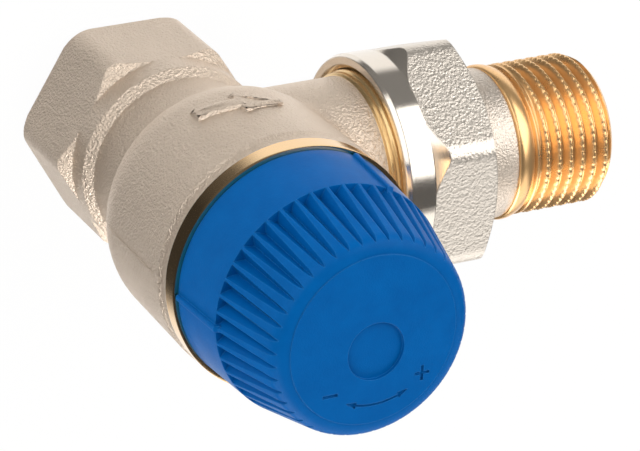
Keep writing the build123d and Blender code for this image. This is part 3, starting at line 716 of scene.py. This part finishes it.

# %% [markdown]
# ## Moulded plastics and rubber
#
# The cap is moulded in one colour, a strong blue with a satin skin: the mould was spark
# eroded, which leaves a fine grain. It is drawn about a fifth of a millimetre wide, coarse
# enough to show in the picture. The edges are painted paler: partly wear, and partly a painted
# sheen where the edges catch the light. The specular level is turned down to 0.05, because a
# full one would grey the blue under four lamps. The same function makes the black and white
# plastics inside, which are smoother, and the seals, whose moulded rubber is nearly black and dull.

# %% Moulded plastics
def moulded(name, colour, paler, edge_wear_and_sheen_colour, roughness, grain_mm, depth_mm):
    """Plastic from a mould: a fine even grain, a slow drift between two close tones, and paler edges.

    An edge is where the normal that the Bevel node rounds turns away from the face's own normal.
    Its paler colour there is partly wear and partly a painted sheen.
    """
    material, tree, shader = new_material(name, colour, 0.0, roughness)
    shader.inputs["IOR"].default_value = 1.49
    shader.inputs["Specular IOR Level"].default_value = 0.05
    place = put(tree, "ShaderNodeTexCoord").outputs["Object"]
    drift = put(tree, "ShaderNodeTexNoise", {"Vector": place},
                {"Scale": per_metre(4.0), "Detail": 5.0, "Roughness": 0.7})
    tone = put(tree, "ShaderNodeMix", {"Factor": drift.outputs["Fac"]}, {"A": colour, "B": paler},
               data_type="RGBA")
    edge = put(tree, "ShaderNodeBevel", None, {"Radius": 0.2 * MM}, samples=4)
    own = put(tree, "ShaderNodeNewGeometry").outputs["Normal"]
    turned = put(tree, "ShaderNodeVectorMath", {0: edge.outputs["Normal"], 1: own},
                 operation="DOT_PRODUCT")
    # Paler edges: partly wear, partly a painted sheen where the edges catch the light.
    wear_and_sheen = put(tree, "ShaderNodeMapRange", {"Value": turned.outputs["Value"]},
               {"From Min": 0.99, "From Max": 0.90, "To Max": 0.6})
    paint = put(tree, "ShaderNodeMix", {"Factor": wear_and_sheen.outputs[0], "A": tone.outputs["Result"]},
                {"B": edge_wear_and_sheen_colour}, data_type="RGBA")
    tree.links.new(paint.outputs["Result"], shader.inputs["Base Color"])
    grain = put(tree, "ShaderNodeTexNoise", {"Vector": place},
                {"Scale": per_metre(grain_mm), "Detail": 2.0})
    bump = put(tree, "ShaderNodeBump", {"Height": grain.outputs["Fac"], "Normal": edge.outputs["Normal"]},
               {"Strength": 0.8, "Distance": depth_mm * MM})
    tree.links.new(bump.outputs["Normal"], shader.inputs["Normal"])
    return material


finishes = {
    "nickel_forging": blasted,
    "nickel_nut": plated_nut,
    "brass": turned_brass,
    "brass_tail": bright_brass,
    "blue_plastic": moulded("moulded_blue", "#004E91", "#0060A8", "#2878BE", 0.36, 0.22, 0.035),
    "black_plastic": moulded("moulded_black", "#1E1E20", "#252527", "#343436", 0.45, 0.14, 0.012),
    "white_plastic": moulded("moulded_white", "#E3E1DB", "#ECEAE4", "#F1EFEA", 0.45, 0.14, 0.012),
    "seal_rubber": moulded("seal_rubber", "#141414", "#1A1A1A", "#222222", 0.6, 0.1, 0.008),
    "stainless": stainless,
    "spring_steel": spring_steel,
}
print("finishes:", sorted(finishes))

# %% Finishes on the solids and the new pieces
slot_of = {entry["node"]: entry["material_slot"] for entry in frame["record"]["subparts"]}
for node_name, node_object in frame["nodes"].items():
    node_object.data.materials.clear()
    node_object.data.materials.append(finishes[slot_of[node_name]])
new_pieces = ((tail_thread, bright_brass), (tail_neck, neck_nickel), (flow_mark, blasted),
              (seam, blasted), (root, blasted), (shoulder, turned_brass), (coil, spring_steel))
for piece, finish in new_pieces:
    piece.data.materials.append(finish)
print("dressed", len(slot_of), "solids and", len(new_pieces), "new pieces")

# %% [markdown]
# ## Camera
#
# The camera stands where the photographer's did. Its three directions were worked out from
# points of the valve whose places are known, so they are written as they are.

# %% Camera
camera_data = bpy.data.cameras.new("camera")
camera = bpy.data.objects.new("camera", camera_data)
bpy.context.scene.collection.objects.link(camera)
camera_data.lens = 225.0
camera_data.sensor_width = 36.0
camera_right = Vector((0.88834, 0.03842, 0.45758))
camera_up = Vector((0.16717, 0.90105, -0.40020))
camera_back = Vector((-0.42768, 0.43201, 0.79401))
turn = Matrix((camera_right, camera_up, camera_back)).transposed().to_4x4()
camera.matrix_world = Matrix.Translation(Vector((-0.214928, 0.226040, 0.457893))) @ turn
bpy.context.scene.camera = camera
print("camera at", [round(value, 3) for value in camera.location])

# %% [markdown]
# ## Floor and room
#
# The valve stands on white paper, and the camera sees the paper and the room as white. Four
# soft lamps light it. What polished metal shows is the room itself: bright lamps, a bright
# patch below where the paper catches the light, and dimness between them. So the world's
# level depends on the direction, and the paper is left out of reflections.
#
# For a mirrored ray the level is the larger of two. The pool grows from 0 to 1.08 as the ray
# turns from 55 to 46 degrees away from a direction that points down. The dimness goes from
# 0.04 to 0.16 towards +Y, the top of the picture. The camera itself sees 1, and rays from
# matt surfaces see an even 0.26, which fills the shadows.

# %% Floor
floor_half = 1.5
floor_z = -0.0002
paper_white = 0.96


def plain_floor():
    """A wide square just under the hexagon's end face."""
    mesh = bpy.data.meshes.new("floor")
    corners = [(-1, -1), (1, -1), (1, 1), (-1, 1)]
    vertices = [(x * floor_half, y * floor_half, floor_z) for x, y in corners]
    mesh.from_pydata(vertices, [], [(0, 1, 2, 3)])
    floor = bpy.data.objects.new("floor", mesh)
    bpy.context.scene.collection.objects.link(floor)
    material, tree, shader = new_material("white_paper", "#F4F3F1", 0.0, 0.9)
    path = put(tree, "ShaderNodeLightPath")
    bright = put(tree, "ShaderNodeEmission", None, {"Strength": 1.0})
    share = put(tree, "ShaderNodeMath", {0: path.outputs["Is Camera Ray"]}, {1: paper_white},
                operation="MULTIPLY")
    mix = put(tree, "ShaderNodeMixShader",
              {0: share.outputs[0], 1: shader.outputs[0], 2: bright.outputs[0]})
    tree.links.new(mix.outputs[0], tree.nodes["Material Output"].inputs["Surface"])
    mesh.materials.append(material)
    floor.visible_glossy = False
    return floor


plain_floor()

# %% Lamps
middle = Vector((0.02, 0.0, 0.035))


def soft_lamp(name, turn_deg, height_deg, distance, size, radiance):
    """A square area lamp at a compass angle and a height angle, turned towards the valve.

    Its power in watts is pi times its area times its radiance, so a radiance of 1 is white.
    """
    data = bpy.data.lights.new(name, "AREA")
    data.size = size
    data.energy = np.pi * size * size * radiance
    lamp = bpy.data.objects.new(name, data)
    bpy.context.scene.collection.objects.link(lamp)
    turn_rad, height_rad = np.radians(turn_deg), np.radians(height_deg)
    sideways = np.cos(height_rad)
    away = Vector((sideways * np.cos(turn_rad), sideways * np.sin(turn_rad), np.sin(height_rad)))
    lamp.location = middle + away * distance
    lamp.rotation_mode = "QUATERNION"
    lamp.rotation_quaternion = (-away).to_track_quat("-Z", "Y")
    print(name, "gives", round(data.energy, 2), "W")


soft_lamp("key", turn_deg=38.0, height_deg=38.0, distance=0.55, size=0.57, radiance=2.6)
soft_lamp("left", turn_deg=140.0, height_deg=24.0, distance=0.5, size=0.62, radiance=1.6)
soft_lamp("front", turn_deg=-66.0, height_deg=20.0, distance=0.6, size=0.66, radiance=1.35)
soft_lamp("low", turn_deg=-112.0, height_deg=14.0, distance=0.5, size=0.42, radiance=4.0)

# %% Room
pool_direction = (0.47, -0.10, -0.877)
pool_edge = (0.58, 0.70)
pool_level = 1.08
dim_edge = (0.3, 0.8)
dim_levels = (0.04, 0.16)
fill_level = 0.26
world = bpy.data.worlds.new("white_room")
bpy.context.scene.world = world
world.use_nodes = True
sky = world.node_tree
background = sky.nodes["Background"]
path = put(sky, "ShaderNodeLightPath")
glossy = path.outputs["Is Glossy Ray"]
direction = put(sky, "ShaderNodeTexCoord").outputs["Generated"]
below = put(sky, "ShaderNodeVectorMath", {0: direction}, {1: pool_direction},
            operation="DOT_PRODUCT")
pool = put(sky, "ShaderNodeMapRange", {"Value": below.outputs["Value"]},
           {"From Min": pool_edge[0], "From Max": pool_edge[1], "To Min": 0.0, "To Max": pool_level})
side = put(sky, "ShaderNodeSeparateXYZ", {"Vector": direction})
dim = put(sky, "ShaderNodeMapRange", {"Value": side.outputs["Y"]},
          {"From Min": dim_edge[0], "From Max": dim_edge[1],
           "To Min": dim_levels[0], "To Max": dim_levels[1]})
room = put(sky, "ShaderNodeMath", {0: pool.outputs[0], 1: dim.outputs[0]}, operation="MAXIMUM")
mirrored = put(sky, "ShaderNodeMath", {0: glossy, 1: room.outputs[0]}, operation="MULTIPLY")
seen = put(sky, "ShaderNodeMath", {0: path.outputs["Is Camera Ray"], 1: mirrored.outputs[0]},
           operation="MAXIMUM")
other = put(sky, "ShaderNodeMapRange", {"Value": glossy}, {"To Min": fill_level, "To Max": 0.0})
level = put(sky, "ShaderNodeMath", {0: seen.outputs[0], 1: other.outputs[0]}, operation="MAXIMUM")
sky.links.new(level.outputs[0], background.inputs["Strength"])
background.inputs["Color"].default_value = (1, 1, 1, 1)
bpy.context.scene.view_settings.view_transform = "Standard"
print("room: pool", pool_level, "dimness", dim_levels, "fill", fill_level)
